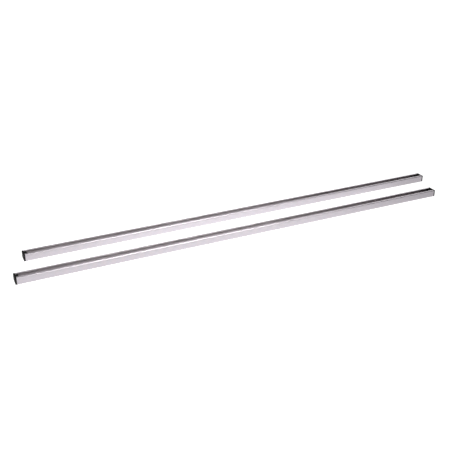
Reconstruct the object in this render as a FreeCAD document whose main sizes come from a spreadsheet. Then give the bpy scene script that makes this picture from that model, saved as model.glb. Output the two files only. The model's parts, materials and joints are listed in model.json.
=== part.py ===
"""Pair of roof tent mounting rails: two aluminium channel rails, each closed by two plastic end caps.

Millimetres. X runs along the rails, Y from the front rail to the rear rail, Z up.
The origin is at the bottom centre of the pair as it lies on a flat surface, slots upward.
"""
import os

import FreeCAD
import Part
import Sketcher

# Driving dimensions: name, value in millimetres, meaning
DIMENSIONS = [
    ("rail_length", 1391.0, "aluminium extrusion, cut face to cut face"),
    ("rail_width", 30.6, "outside, front face to back face"),
    ("rail_height", 21.3, "outside, base to top of the lips"),
    ("wall_thickness", 2.0, "side walls of the channel"),
    ("floor_thickness", 2.2, "web at the bottom of the channel"),
    ("lip_thickness", 2.2, "lips beside the slot"),
    ("slot_width", 18.0, "mouth of the slot between the lips"),
    ("top_edge_radius", 2.0, "outer round along the top edges"),
    ("base_edge_radius", 0.8, "outer round along the bottom edges"),
    ("lip_edge_radius", 0.5, "rounds along the lips, beside the slot"),
    ("inside_radius", 0.8, "corners inside the channel"),
    ("rail_spacing", 122.0, "centre of the front rail to centre of the rear rail"),
    ("rail_stagger", 46.5, "how far the rear rail lies along X past the front rail"),
    ("cap_plate_thickness", 4.5, "plate of an end cap, outside the rail"),
    ("cap_edge_radius", 0.5, "round along the outer edge of the plate"),
    ("plug_length", 8.0, "plug of an end cap, inside the rail"),
    ("plug_clearance", 0.15, "between the plug and the channel, on each side"),
    ("plug_wall", 1.8, "walls of the hollow plug"),
    ("plug_lead_in", 0.8, "chamfer that guides the plug into the channel"),
]

SHEET = "Dimensions"
CAVITY_WIDTH = f"({SHEET}.rail_width - 2 * {SHEET}.wall_thickness)"
CAVITY_TOP = f"({SHEET}.rail_height - {SHEET}.lip_thickness)"
PLUG_WIDTH = f"({CAVITY_WIDTH} - 2 * {SHEET}.plug_clearance)"
PLUG_BOTTOM = f"({SHEET}.floor_thickness + {SHEET}.plug_clearance)"
PLUG_TOP = f"({CAVITY_TOP} - {SHEET}.plug_clearance)"
MATCH = 1e-4


def make_sheet(doc):
    """Write the driving dimensions into a spreadsheet, one aliased cell each."""
    sheet = doc.addObject("Spreadsheet::Sheet", SHEET)
    for row, (alias, value, meaning) in enumerate(DIMENSIONS, start=1):
        sheet.set(f"A{row}", alias)
        sheet.set(f"B{row}", str(value))
        sheet.set(f"C{row}", meaning)
        sheet.setAlias(f"B{row}", alias)
    doc.recompute()
    return sheet


def cross_section(body, name, width, bottom, top):
    """Sketch a rectangle across the rail, centred on Z, from the expressions of its sides."""
    sketch = body.newObject("Sketcher::SketchObject", name)
    plane = [item for item in body.Origin.OriginFeatures if item.Role == "YZ_Plane"][0]
    sketch.AttachmentSupport = [(plane, "")]
    sketch.MapMode = "FlatFace"
    corners = [FreeCAD.Vector(y, z, 0) for y, z in ((-5, 1), (5, 1), (5, 9), (-5, 9))]
    for index, corner in enumerate(corners):
        sketch.addGeometry(Part.LineSegment(corner, corners[(index + 1) % 4]), False)
    for index in range(4):
        sketch.addConstraint(Sketcher.Constraint("Coincident", index, 2, (index + 1) % 4, 1))
    sketch.addConstraint(Sketcher.Constraint("Horizontal", 2))
    for index in (1, 3):
        sketch.addConstraint(Sketcher.Constraint("Vertical", index))
    sketch.addConstraint(Sketcher.Constraint("Symmetric", 0, 1, 0, 2, -2))
    driven = (
        ("width", Sketcher.Constraint("DistanceX", 0, 1, 0, 2, 10.0), width),
        ("bottom", Sketcher.Constraint("DistanceY", -1, 1, 0, 1, 1.0), bottom),
        ("top", Sketcher.Constraint("DistanceY", -1, 1, 2, 1, 9.0), top),
    )
    for label, constraint, expression in driven:
        number = sketch.addConstraint(constraint)
        sketch.renameConstraint(number, label)
        sketch.setExpression(f"Constraints.{label}", expression)
    return sketch


def pad(body, name, sketch, length, along=True, centred=False):
    """Extrude a cross section along X, or against it."""
    feature = body.newObject("PartDesign::Pad", name)
    feature.Profile = sketch
    feature.Midplane = centred
    feature.Reversed = not along
    feature.setExpression("Length", length)
    return feature


def pocket(body, name, sketch, length, centred=False):
    """Cut a cross section out of the body along X, and check that it removes material."""
    body.Document.recompute()
    before = body.Shape.Volume
    feature = body.newObject("PartDesign::Pocket", name)
    feature.Profile = sketch
    feature.Midplane = centred
    feature.Reversed = True
    feature.setExpression("Length", length)
    body.Document.recompute()
    if body.Shape.Volume > before - 1.0:
        raise RuntimeError(f"{body.Label}: {name} cuts nothing")
    return feature


def dress(body, kind, name, size_property, size, picks):
    """Round or chamfer the edges of the body that one of the tests picks."""
    body.Document.recompute()
    base = body.Tip
    edges = base.Shape.Edges
    names = [f"Edge{number}" for number, edge in enumerate(edges, start=1) if picks(edge)]
    feature = body.newObject(kind, name)
    feature.Base = (base, names)
    feature.setExpression(size_property, size)
    return feature


def runs_along_x_at(offset, height):
    """Test for a long edge at plus or minus an offset in Y and at a height."""
    def picks(edge):
        ends = [vertex.Point for vertex in edge.Vertexes]
        beside = all(abs(abs(end.y) - offset) < MATCH for end in ends)
        level = all(abs(end.z - height) < MATCH for end in ends)
        return beside and level and abs(ends[0].x - ends[-1].x) > MATCH
    return picks


def lies_at_x(place):
    """Test for an edge that lies in a plane across the rail."""
    def picks(edge):
        return all(abs(vertex.X - place) < MATCH for vertex in edge.Vertexes)
    return picks


def either(*tests):
    """Test for an edge that any of the tests picks."""
    return lambda edge: any(test(edge) for test in tests)


def round_edges(body, name, size, *tests):
    """Round the edges that any of the tests picks, to a radius from the sheet."""
    return dress(body, "PartDesign::Fillet", name, "Radius", f"{SHEET}.{size}", either(*tests))


def make_rail(doc, sheet, label):
    """One extruded channel: a closed block, hollowed along its length and slotted along the top."""
    body = doc.addObject("PartDesign::Body", label)
    body.Label = label
    half_width = sheet.rail_width / 2
    half_cavity = half_width - sheet.wall_thickness
    half_slot = sheet.slot_width / 2
    lip_underside = sheet.rail_height - sheet.lip_thickness
    length = f"{SHEET}.rail_length"
    top = f"{SHEET}.rail_height"
    floor = f"{SHEET}.floor_thickness"

    outline = cross_section(body, f"{label}_outline", f"{SHEET}.rail_width", "0", top)
    pad(body, f"{label}_block", outline, length, centred=True)
    cavity = cross_section(body, f"{label}_cavity", CAVITY_WIDTH, floor, CAVITY_TOP)
    pocket(body, f"{label}_channel", cavity, length, centred=True)
    mouth = cross_section(body, f"{label}_mouth", f"{SHEET}.slot_width", floor, top)
    pocket(body, f"{label}_slot", mouth, length, centred=True)
    round_edges(body, f"{label}_top_round", "top_edge_radius",
                runs_along_x_at(half_width, sheet.rail_height))
    round_edges(body, f"{label}_base_round", "base_edge_radius", runs_along_x_at(half_width, 0.0))
    round_edges(body, f"{label}_lip_round", "lip_edge_radius",
                runs_along_x_at(half_slot, sheet.rail_height),
                runs_along_x_at(half_slot, lip_underside))
    round_edges(body, f"{label}_inside_round", "inside_radius",
                runs_along_x_at(half_cavity, sheet.floor_thickness),
                runs_along_x_at(half_cavity, lip_underside))
    return body


def make_end_cap(doc, sheet, label):
    """One moulded end cap: a plate with the rail's outline, and a hollow plug that fills the channel."""
    body = doc.addObject("PartDesign::Body", label)
    body.Label = label
    half_width = sheet.rail_width / 2
    half_plug = half_width - sheet.wall_thickness - sheet.plug_clearance
    plug_bottom = sheet.floor_thickness + sheet.plug_clearance
    plug_top = sheet.rail_height - sheet.lip_thickness - sheet.plug_clearance
    plug_length = f"{SHEET}.plug_length"

    outline = cross_section(body, f"{label}_outline", f"{SHEET}.rail_width", "0", f"{SHEET}.rail_height")
    pad(body, f"{label}_plate", outline, f"{SHEET}.cap_plate_thickness", along=False)
    section = cross_section(body, f"{label}_plug_section", PLUG_WIDTH, PLUG_BOTTOM, PLUG_TOP)
    pad(body, f"{label}_plug", section, plug_length)
    round_edges(body, f"{label}_top_round", "top_edge_radius",
                runs_along_x_at(half_width, sheet.rail_height))
    round_edges(body, f"{label}_base_round", "base_edge_radius", runs_along_x_at(half_width, 0.0))
    round_edges(body, f"{label}_plug_round", "inside_radius",
                runs_along_x_at(half_plug, plug_bottom), runs_along_x_at(half_plug, plug_top))
    dress(body, "PartDesign::Chamfer", f"{label}_lead_in", "Size", f"{SHEET}.plug_lead_in",
          lies_at_x(sheet.plug_length))
    round_edges(body, f"{label}_plate_round", "cap_edge_radius", lies_at_x(-sheet.cap_plate_thickness))
    hollow = cross_section(body, f"{label}_hollow_section", f"{PLUG_WIDTH} - 2 * {SHEET}.plug_wall",
                           f"{PLUG_BOTTOM} + {SHEET}.plug_wall", f"{PLUG_TOP} - {SHEET}.plug_wall")
    pocket(body, f"{label}_hollow", hollow, plug_length)
    return body


def place(body, along, across, turned=False):
    """Put a body at the expressions of its place along X and Y, turned half round if asked."""
    if turned:
        body.Placement.Rotation = FreeCAD.Rotation(FreeCAD.Vector(0, 0, 1), 180)
    body.setExpression("Placement.Base.x", along)
    body.setExpression("Placement.Base.y", across)


def check(doc, nodes):
    """Stop if any object failed to build, or if a sub-part isn't one valid solid."""
    for item in doc.Objects:
        failed = [state for state in item.State if state in ("Invalid", "Error")]
        if failed:
            raise RuntimeError(f"{item.Label}: {failed}")
    for node in nodes:
        if node.Shape.isNull() or not node.Shape.isValid() or len(node.Shape.Solids) != 1:
            raise RuntimeError(f"{node.Label}: not one valid solid")


def main():
    os.makedirs("parts", exist_ok=True)
    doc = FreeCAD.newDocument("roof_tent_mounting_rails")
    sheet = make_sheet(doc)
    nodes = []
    for row, side in (("front", "-"), ("rear", "")):
        along = f"{side}{SHEET}.rail_stagger / 2"
        across = f"{side}{SHEET}.rail_spacing / 2"
        rail = make_rail(doc, sheet, f"{row}_rail")
        place(rail, along, across)
        left_cap = make_end_cap(doc, sheet, f"{row}_left_end_cap")
        place(left_cap, f"{along} - {SHEET}.rail_length / 2", across)
        right_cap = make_end_cap(doc, sheet, f"{row}_right_end_cap")
        place(right_cap, f"{along} + {SHEET}.rail_length / 2", across, turned=True)
        nodes += [rail, left_cap, right_cap]
    doc.recompute()
    check(doc, nodes)
    for node in nodes:
        node.Shape.exportStep(os.path.join("parts", f"{node.Label}.step"))
        box = node.Shape.BoundBox
        print(f"{node.Label}: volume {node.Shape.Volume:.1f} mm3, "
              f"X {box.XMin:.2f}..{box.XMax:.2f}, Y {box.YMin:.2f}..{box.YMax:.2f}, "
              f"Z {box.ZMin:.2f}..{box.ZMax:.2f}")


main()
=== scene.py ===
"""Looks of the pair of roof tent mounting rails: finishes, floor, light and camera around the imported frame.

Metres, in the frame of the part: X along the rails, Y from the front rail to the rear rail, Z up.
"""
import json
import math

import bmesh
import bpy
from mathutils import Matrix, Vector

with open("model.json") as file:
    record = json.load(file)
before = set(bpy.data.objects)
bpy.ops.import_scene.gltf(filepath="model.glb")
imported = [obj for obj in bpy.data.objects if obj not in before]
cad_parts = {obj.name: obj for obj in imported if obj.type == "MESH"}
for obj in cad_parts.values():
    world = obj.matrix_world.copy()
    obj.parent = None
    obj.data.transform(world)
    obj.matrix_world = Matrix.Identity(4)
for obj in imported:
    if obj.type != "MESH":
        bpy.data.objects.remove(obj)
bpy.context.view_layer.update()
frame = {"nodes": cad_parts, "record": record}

WHITE = (1.0, 1.0, 1.0, 1.0)
BLACK = (0.0, 0.0, 0.0, 1.0)

# Camera, as found from the rails' outlines in the photograph
PHOTO_SIDE = 452
FOCAL_PIXELS = 725.6
SENSOR_MM = 36.0
CAMERA_YAW = math.radians(25.017)
CAMERA_PITCH = math.radians(26.001)
CAMERA_DISTANCE = 2.2575
CAMERA_AIM = Vector((-0.0631, 0.0127, 0.0))

# Floor: a white table that gives light, with pairs of a place along X and the glow there
FLOOR_SIDE = 60.0
FLOOR_COLOUR = (0.28, 0.28, 0.28, 1.0)
FLOOR_FRONT_GLOW = ((-1.10, 0.93), (-0.72, 0.91), (-0.30, 0.83), (0.10, 0.96), (0.52, 0.93), (0.70, 0.80),
                    (0.84, 0.92))
FLOOR_GAP_GLOW = ((-1.10, 0.98), (-0.68, 1.00), (-0.20, 1.20), (0.20, 1.24), (0.55, 1.26), (0.70, 0.98),
                  (0.84, 1.05))
FLOOR_FAR_GLOW = 1.05

# Zones of the floor: pairs of a place along Y and the share of the gap's glow, or of the far glow, there
FLOOR_GAP_SHARE = ((-0.10, 0.0), (-0.04, 1.0))
FLOOR_FAR_SHARE = ((-0.55, 1.0), (-0.22, 0.0), (0.08, 0.0), (0.16, 1.0))

# Backdrop: a white wall around the floor that only the camera sees
BACKDROP_RADIUS = 28.0
BACKDROP_HEIGHT = 30.0
BACKDROP_SIDES = 64
BACKDROP_GLOW = 1.0

# Roughness of the floor and the backdrop
STAGE_ROUGHNESS = 0.9

# Sky: strengths, and the directions along Y and X between which they change
SKY_FRONT = 0.04
SKY_BACK = 0.32
SKY_TURN = (-0.30, 0.30)
SKY_LEFT_SHARE = 1.0
SKY_RIGHT_SHARE = 0.40
SKY_RIGHT = (0.30, 0.75)

# Soft lights
KEY_PLACE = Vector((0.03, -0.60, 0.90))
KEY_SIZE = (0.9, 0.4)
KEY_POWER = 7.6
KEY_AIM = Vector((-0.27, 0.0, 0.0))
KEY_SPREAD = math.radians(95.0)
FILL_PLACE = Vector((-0.95, -0.45, 0.75))
FILL_SIZE = (0.5, 0.5)
FILL_POWER = 4.5
BACK_PLACE = Vector((2.5, 2.1, 1.28))
BACK_SIZE = (2.2, 1.2)
BACK_POWER = 19.0
RAILS_MIDDLE = Vector((0.0, 0.0, 0.0))

# Anodised aluminium
METAL_COLOUR = (0.470, 0.438, 0.472, 1.0)
METAL_ROUGHNESS = 0.40
METAL_SHARE = 0.75

# Inside of the channels, painted lighter and greyer than the outside to stand in for light reaching into the
# shaded slots: its colour, and the places along Y, from the pair's middle, and along Z of its faces
CHANNEL_PAINTED_LIGHT_COLOUR = (0.538, 0.500, 0.518, 1.0)
RAIL_OFFSET = 0.061
CHANNEL_REACH = 0.0138
CHANNEL_MIDDLE = 0.0108
CHANNEL_RISE = 0.0098

# Noises of the metal: scale along each axis, detail and roughness
DIE_LINES = ((1.5, 2200.0, 2200.0), 3.0, 0.6)
BROAD_LINES = ((0.6, 420.0, 420.0), 2.0, 0.5)
CLOUDS = ((14.0, 60.0, 60.0), 3.0, 0.5)

# How far each of these noises, in this order, moves the tone and the roughness, and the lines' relief
METAL_TONE_SWINGS = (0.035, 0.025, 0.02)
METAL_ROUGHNESS_SWINGS = (0.05, 0.02, 0.03)
DIE_LINE_HEIGHT = 0.000004
DIE_LINE_STRENGTH = 0.5

# Black moulded plastic
PLASTIC_COLOUR = (0.007, 0.007, 0.0074, 1.0)
PLASTIC_ROUGHNESS = 0.60
PLASTIC_SPECULAR = 0.08

# Noises of the plastic, and what they do, as for the metal
GRAIN = ((2600.0, 2600.0, 2600.0), 2.0, 0.5)
FLOW = ((180.0, 180.0, 180.0), 3.0, 0.5)
PLASTIC_TONE_SWINGS = (0.15, 0.15)
PLASTIC_ROUGHNESS_SWINGS = (0.05, 0.04)
GRAIN_HEIGHT = 0.00004
GRAIN_STRENGTH = 0.6

# Range that most of a noise lies in, and the highest value of a curve
NOISE_RANGE = (0.25, 0.75)
CURVE_TOP = 2.0


class Nodes:
    """Short calls for building the node tree of a material or a world."""

    def __init__(self, owner, kind="BSDF_PRINCIPLED"):
        owner.use_nodes = True
        self.tree = owner.node_tree
        self.shader = next(node for node in self.tree.nodes if node.type == kind)

    def add(self, kind, **values):
        """A new node with its values set."""
        node = self.tree.nodes.new(kind)
        for name, value in values.items():
            setattr(node, name, value)
        return node

    def feed(self, target, value):
        """Link another node's output to an input, or set the input to a plain value."""
        if isinstance(value, bpy.types.NodeSocket):
            self.tree.links.new(value, target)
        else:
            target.default_value = value

    def fill(self, node, **values):
        """Feed inputs of a node by their names, with underscores for spaces."""
        for name, value in values.items():
            self.feed(node.inputs[name.replace("_", " ")], value)

    def set(self, name, value):
        """Feed an input of the shader."""
        self.feed(self.shader.inputs[name], value)

    def math(self, operation, *values):
        """The result of an operation on values."""
        node = self.add("ShaderNodeMath", operation=operation)
        for target, value in zip(node.inputs, values):
            self.feed(target, value)
        return node.outputs["Value"]

    def mix(self, kind, factor, first, second, blend="MIX"):
        """Two numbers or two colours, mixed by a factor."""
        node = self.add("ShaderNodeMix", data_type=kind, blend_type=blend)
        self.fill(node, Factor=factor, A=first, B=second)
        return node.outputs["Result"]

    def span(self, value, low, high, start, end, interpolation="LINEAR"):
        """A value from start to end, brought to a range from low to high."""
        node = self.add("ShaderNodeMapRange", interpolation_type=interpolation)
        self.fill(node, Value=value, From_Min=start, From_Max=end, To_Min=low, To_Max=high)
        return node.outputs["Result"]

    def axes(self, kind="Object"):
        """The place or direction along each axis, by the axis's name."""
        parts = self.add("ShaderNodeSeparateXYZ")
        self.fill(parts, Vector=self.add("ShaderNodeTexCoord").outputs[kind])
        return parts.outputs

    def noise(self, scale, detail, roughness):
        """Noise between 0 and 1, with a scale along each axis."""
        mapping = self.add("ShaderNodeMapping")
        self.fill(mapping, Vector=self.add("ShaderNodeTexCoord").outputs["Object"], Scale=scale)
        node = self.add("ShaderNodeTexNoise")
        self.fill(node, Vector=mapping.outputs["Vector"], Scale=1.0, Detail=detail, Roughness=roughness)
        return node.outputs["Fac"]

    def varied(self, middle, noises, swings):
        """A middle value plus noises, each of which swings that far to either side."""
        total = middle
        for noise, swing in zip(noises, swings):
            total = self.math("ADD", total, self.span(noise, -swing, swing, *NOISE_RANGE))
        return total

    def curve(self, value, stations):
        """A value from 0 to CURVE_TOP that passes smoothly through stations of place and value."""
        node = self.add("ShaderNodeFloatCurve")
        first, last = stations[0][0], stations[-1][0]
        points = node.mapping.curves[0].points
        while len(points) < len(stations):
            points.new(0.5, 0.5)
        for point, (place, height) in zip(points, stations):
            point.location = ((place - first) / (last - first), height / CURVE_TOP)
        node.mapping.update()
        self.fill(node, Value=self.span(value, 0.0, 1.0, first, last))
        return self.span(node.outputs["Value"], 0.0, CURVE_TOP, 0.0, 1.0)

    def bump(self, relief, height, strength):
        """The normal of a relief of that height."""
        node = self.add("ShaderNodeBump")
        self.fill(node, Height=relief, Distance=height, Strength=strength)
        return node.outputs["Normal"]


def metal_colour_with_painted_channel_light(nodes):
    """The metal's colour, with painted light on the faces inside a channel: lighter and greyer there, to
    stand in for light reaching into the shaded slot.
    """
    place = nodes.axes()
    across = nodes.math("COMPARE", nodes.math("ABSOLUTE", place["Y"]), RAIL_OFFSET, CHANNEL_REACH)
    upright = nodes.math("COMPARE", place["Z"], CHANNEL_MIDDLE, CHANNEL_RISE)
    return nodes.mix("RGBA", nodes.math("MULTIPLY", across, upright), METAL_COLOUR, CHANNEL_PAINTED_LIGHT_COLOUR)


def anodised_aluminium():
    """Satin silver extrusion: fine die lines along the rail, and soft clouds in the anodised film."""
    material = bpy.data.materials.new("anodised_aluminium")
    nodes = Nodes(material)
    noises = [nodes.noise(*settings) for settings in (DIE_LINES, BROAD_LINES, CLOUDS)]
    tone = nodes.varied(1.0, noises, METAL_TONE_SWINGS)
    # The base colour carries painted light: lighter and greyer on the faces inside the channels.
    nodes.set("Base Color", nodes.mix("RGBA", 1.0, metal_colour_with_painted_channel_light(nodes), tone, "MULTIPLY"))
    nodes.set("Roughness", nodes.varied(METAL_ROUGHNESS, noises, METAL_ROUGHNESS_SWINGS))
    nodes.set("Normal", nodes.bump(noises[0], DIE_LINE_HEIGHT, DIE_LINE_STRENGTH))
    nodes.set("Metallic", METAL_SHARE)
    return material


def black_plastic():
    """Moulded end cap: near black, with a fine spark-eroded grain and a dull sheen."""
    material = bpy.data.materials.new("black_plastic")
    nodes = Nodes(material)
    noises = [nodes.noise(*settings) for settings in (GRAIN, FLOW)]
    tone = nodes.varied(1.0, noises, PLASTIC_TONE_SWINGS)
    nodes.set("Base Color", nodes.mix("RGBA", 1.0, PLASTIC_COLOUR, tone, "MULTIPLY"))
    nodes.set("Roughness", nodes.varied(PLASTIC_ROUGHNESS, noises, PLASTIC_ROUGHNESS_SWINGS))
    nodes.set("Normal", nodes.bump(noises[0], GRAIN_HEIGHT, GRAIN_STRENGTH))
    nodes.set("Specular IOR Level", PLASTIC_SPECULAR)
    return material


def dress_nodes():
    """Give each carried-over node the finish of its slot."""
    finishes = {"anodised_aluminium": anodised_aluminium(), "black_plastic": black_plastic()}
    for subpart in frame["record"]["subparts"]:
        piece = frame["nodes"][subpart["node"]]
        for slot in piece.material_slots:
            slot.material = finishes[subpart["material_slot"]]


def stage_material(mesh, name, colour):
    """Give a mesh a matt material that can glow white."""
    material = bpy.data.materials.new(name)
    mesh.materials.append(material)
    nodes = Nodes(material)
    nodes.set("Base Color", colour)
    nodes.set("Roughness", STAGE_ROUGHNESS)
    nodes.set("Specular IOR Level", 0.0)
    nodes.set("Emission Color", WHITE)
    return nodes


def make_floor():
    """A floor that looks even white to the camera, and lights the rails with three zones of glow.

    One zone is in front of the rails, one in the gap between them, and one farther off.
    """
    half = FLOOR_SIDE / 2
    mesh = bpy.data.meshes.new("floor")
    corners = [(-half, -half, 0), (half, -half, 0), (half, half, 0), (-half, half, 0)]
    mesh.from_pydata(corners, [], [(0, 1, 2, 3)])
    nodes = stage_material(mesh, "pale_floor", FLOOR_COLOUR)
    place = nodes.axes()
    front = nodes.curve(place["X"], FLOOR_FRONT_GLOW)
    gap = nodes.curve(place["X"], FLOOR_GAP_GLOW)
    near = nodes.mix("FLOAT", nodes.curve(place["Y"], FLOOR_GAP_SHARE), front, gap)
    glow = nodes.mix("FLOAT", nodes.curve(place["Y"], FLOOR_FAR_SHARE), near, FLOOR_FAR_GLOW)
    seen = nodes.add("ShaderNodeLightPath").outputs["Is Camera Ray"]
    nodes.set("Emission Strength", nodes.mix("FLOAT", seen, glow, FLOOR_FAR_GLOW))
    floor = bpy.data.objects.new("floor", mesh)
    bpy.context.collection.objects.link(floor)


def make_backdrop():
    """A round wall that is white to the camera and lights nothing."""
    mesh = bpy.data.meshes.new("backdrop")
    wall = bmesh.new()
    bmesh.ops.create_cone(wall, cap_ends=False, segments=BACKDROP_SIDES, radius1=BACKDROP_RADIUS,
                          radius2=BACKDROP_RADIUS, depth=BACKDROP_HEIGHT)
    wall.to_mesh(mesh)
    wall.free()
    nodes = stage_material(mesh, "white_backdrop", BLACK)
    nodes.set("Emission Strength", BACKDROP_GLOW)
    backdrop = bpy.data.objects.new("backdrop", mesh)
    for ray in ("diffuse", "glossy", "transmission", "volume_scatter", "shadow"):
        setattr(backdrop, f"visible_{ray}", False)
    bpy.context.collection.objects.link(backdrop)


def make_sky():
    """A studio that is pale behind the rails, dark in front of them and dimmer towards the right."""
    world = bpy.data.worlds.new("studio")
    bpy.context.scene.world = world
    nodes = Nodes(world, "BACKGROUND")
    direction = nodes.axes("Generated")
    strength = nodes.span(direction["Y"], SKY_FRONT, SKY_BACK, *SKY_TURN, "SMOOTHSTEP")
    share = nodes.span(direction["X"], SKY_LEFT_SHARE, SKY_RIGHT_SHARE, *SKY_RIGHT, "SMOOTHSTEP")
    nodes.set("Color", WHITE)
    nodes.set("Strength", nodes.math("MULTIPLY", strength, share))


def make_softbox(name, place, size, power, aim=RAILS_MIDDLE, spread=math.pi):
    """A rectangular soft light that faces an aim, with the angle that its light spreads over."""
    light = bpy.data.lights.new(name, "AREA")
    light.shape = "RECTANGLE"
    light.size, light.size_y = size
    light.energy = power
    light.spread = spread
    softbox = bpy.data.objects.new(name, light)
    softbox.location = place
    softbox.rotation_euler = (aim - place).to_track_quat("-Z", "Y").to_euler()
    bpy.context.collection.objects.link(softbox)


def make_camera():
    """The photograph's camera, which looks along a yaw and down by a pitch."""
    forward = Vector((math.sin(CAMERA_YAW) * math.cos(CAMERA_PITCH),
                      math.cos(CAMERA_YAW) * math.cos(CAMERA_PITCH),
                      -math.sin(CAMERA_PITCH)))
    data = bpy.data.cameras.new("camera")
    data.sensor_width = SENSOR_MM
    data.lens = SENSOR_MM * FOCAL_PIXELS / PHOTO_SIDE
    data.clip_end = FLOOR_SIDE
    camera = bpy.data.objects.new("camera", data)
    camera.location = CAMERA_AIM - CAMERA_DISTANCE * forward
    camera.rotation_euler = forward.to_track_quat("-Z", "Y").to_euler()
    bpy.context.collection.objects.link(camera)
    bpy.context.scene.camera = camera


dress_nodes()
make_floor()
make_backdrop()
make_sky()
make_softbox("key_softbox", KEY_PLACE, KEY_SIZE, KEY_POWER, KEY_AIM, KEY_SPREAD)
make_softbox("fill_softbox", FILL_PLACE, FILL_SIZE, FILL_POWER)
make_softbox("back_softbox", BACK_PLACE, BACK_SIZE, BACK_POWER)
make_camera()
bpy.context.scene.view_settings.view_transform = "Standard"
